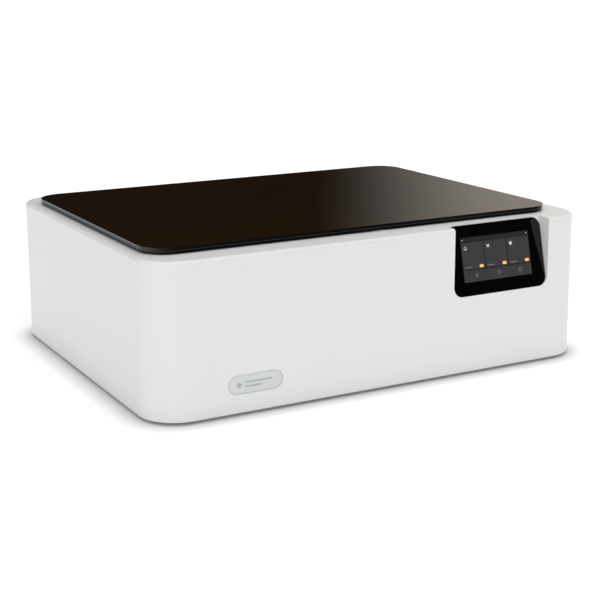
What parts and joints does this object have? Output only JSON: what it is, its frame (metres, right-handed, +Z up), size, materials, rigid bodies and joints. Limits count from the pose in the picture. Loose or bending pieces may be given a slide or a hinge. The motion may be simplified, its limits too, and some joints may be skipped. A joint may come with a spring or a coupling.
{
  "type": "desktop laser cutter",
  "caption": "Desktop laser cutter: low white case, tinted hinged lid, leaning touch panel, laser head on a belt-driven gantry over a honeycomb bed, duct collar at the back.",
  "frame": {"origin": "centre of the footprint, on the surface that the feet stand on", "axes": "+X to the machine's right seen from the front, +Y to the back where the duct collar is, +Z up"},
  "size_m": [0.6, 0.494, 0.194],
  "materials": {
    "housing_white": "fine satin moulded plastic",
    "lid_tint": "polished dark tint",
    "black_plastic": "fine moulded grain",
    "black_glass": "polished, with the screen behind it",
    "badge_grey": "satin",
    "rubber": "matt",
    "sheet_steel": "fine brushed, zinc plated",
    "cover_grey": "powder coat",
    "alloy": "anodised satin",
    "black_alloy": "black anodised satin",
    "blue_alloy": "blue anodised satin",
    "bright_steel": "ground",
    "screw_steel": "blackened steel",
    "belt_black": "matt, toothed",
    "tube_glass": "clear, polished",
    "tank_plastic": "translucent milky",
    "hose_clear": "clear silicone",
    "lead_red": "silicone insulation",
    "board_green": "solder mask with parts",
    "rocker_red": "smooth",
    "gauge_orange": "moulded",
    "head_white": "satin moulded plastic"
  },
  "bodies": {
    "housing": {"outer_housing": "housing_white", "base_plate": "sheet_steel", "rubber_feet": "rubber", "panel_screws": "screw_steel", "rear_panel": "cover_grey", "chamber_liner": "sheet_steel", "rear_bulkhead": "sheet_steel", "electronics_bulkhead": "sheet_steel", "tube_bay_cover": "cover_grey", "electronics_cover": "cover_grey", "crumb_tray": "sheet_steel", "bed_frame": "alloy", "honeycomb_core": "alloy", "y_rails": "bright_steel", "pulley_brackets": "alloy", "y_belts": "belt_black", "y_motor": "black_alloy", "laser_tube": "tube_glass", "tube_clamps": "black_plastic", "mirror_1": "alloy", "water_tank": "tank_plastic", "water_pump": "black_plastic", "radiator": "black_alloy", "water_hoses": "hose_clear", "hv_lead": "lead_red", "exhaust_collar": "black_plastic", "exhaust_fan_frame": "black_plastic", "power_inlet": "black_plastic", "data_ports": "bright_steel", "hv_power_supply": "alloy", "low_voltage_supply": "alloy", "mainboard": "board_green", "display_glass": "black_glass", "display_module": "black_plastic", "badge": "badge_grey", "hinge_bases": "black_alloy", "interlock_sensors": "black_plastic"},
    "lid": {"lid_frame": "black_plastic", "lid_pane": "lid_tint", "hinge_leaves": "black_alloy", "lid_magnets": "bright_steel"},
    "gantry": {"gantry_beam": "alloy", "gantry_ends": "alloy", "x_motor": "black_alloy", "x_belt": "belt_black", "mirror_2": "alloy"},
    "head": {"head_carriage": "alloy", "head_housing": "head_white", "camera_module": "black_plastic"},
    "lens": {"lens_tube": "blue_alloy"},
    "gauge": {"focus_gauge": "gauge_orange"},
    "lock_knob": {"focus_knob": "black_alloy"},
    "x_drive": {"x_drive_pulley": "bright_steel"},
    "x_idler": {"x_idler_pulley": "bright_steel"},
    "y_shaft": {"y_drive_shaft": "bright_steel"},
    "y_idler_pair": {"y_idlers": "bright_steel"},
    "exhaust_rotor": {"exhaust_impeller": "black_plastic"},
    "cooling_rotor": {"radiator_fan": "black_plastic"},
    "rocker": {"power_rocker": "rocker_red"},
    "cap": {"fill_cap": "black_plastic"}
  },
  "joints": [
    {"name": "lid_hinge", "type": "hinge", "parent": "housing", "child": "lid", "pos_m": [-0.0055, 0.1955, 0.1893], "axis": [-1, 0, 0], "range_deg": [0, 70]},
    {"name": "gantry_slide", "type": "slide", "parent": "housing", "child": "gantry", "axis": [0, -1, 0], "range_m": [0, 0.21]},
    {"name": "head_slide", "type": "slide", "parent": "gantry", "child": "head", "axis": [1, 0, 0], "range_m": [0, 0.3]},
    {"name": "focus_slide", "type": "slide", "parent": "head", "child": "lens", "axis": [0, 0, 1], "range_m": [-0.015, 0.004]},
    {"name": "gauge_pivot", "type": "hinge", "parent": "lens", "child": "gauge", "pos_m": [-0.215, 0.0153, 0.104], "axis": [0, 1, 0], "range_deg": [0, 180]},
    {"name": "lock_knob_turn", "type": "hinge", "parent": "head", "child": "lock_knob", "pos_m": [-0.197, 0.033, 0.122], "axis": [1, 0, 0], "range_deg": [0, 180]},
    {"name": "x_drive_spin", "type": "hinge", "parent": "gantry", "child": "x_drive", "pos_m": [0.1515, 0.075, 0.171], "axis": [0, 0, 1], "continuous": true},
    {"name": "x_idler_spin", "type": "hinge", "parent": "gantry", "child": "x_idler", "pos_m": [-0.242, 0.075, 0.171], "axis": [0, 0, 1], "continuous": true},
    {"name": "y_shaft_spin", "type": "hinge", "parent": "housing", "child": "y_shaft", "pos_m": [-0.05, 0.1, 0.127], "axis": [1, 0, 0], "continuous": true},
    {"name": "y_idler_spin", "type": "hinge", "parent": "housing", "child": "y_idler_pair", "pos_m": [-0.062, -0.19, 0.127], "axis": [1, 0, 0], "continuous": true},
    {"name": "exhaust_spin", "type": "hinge", "parent": "housing", "child": "exhaust_rotor", "pos_m": [-0.14, 0.20575, 0.072], "axis": [0, 1, 0], "continuous": true},
    {"name": "cooling_spin", "type": "hinge", "parent": "housing", "child": "cooling_rotor", "pos_m": [0.12, 0.20425, 0.067], "axis": [0, 1, 0], "continuous": true},
    {"name": "power_switch_rock", "type": "hinge", "parent": "housing", "child": "rocker", "pos_m": [0.205, 0.223, 0.076], "axis": [-1, 0, 0], "range_deg": [0, 16]},
    {"name": "fill_cap_pull", "type": "slide", "parent": "housing", "child": "cap", "axis": [0, 1, 0], "range_m": [0, 0.03]}
  ],
  "couplings": [
    {"joint": "x_drive_spin", "follows": "head_slide", "rad_per_m": 157.08},
    {"joint": "x_idler_spin", "follows": "head_slide", "rad_per_m": 157.08},
    {"joint": "y_shaft_spin", "follows": "gantry_slide", "rad_per_m": 157.08},
    {"joint": "y_idler_spin", "follows": "gantry_slide", "rad_per_m": 157.08}
  ]
}
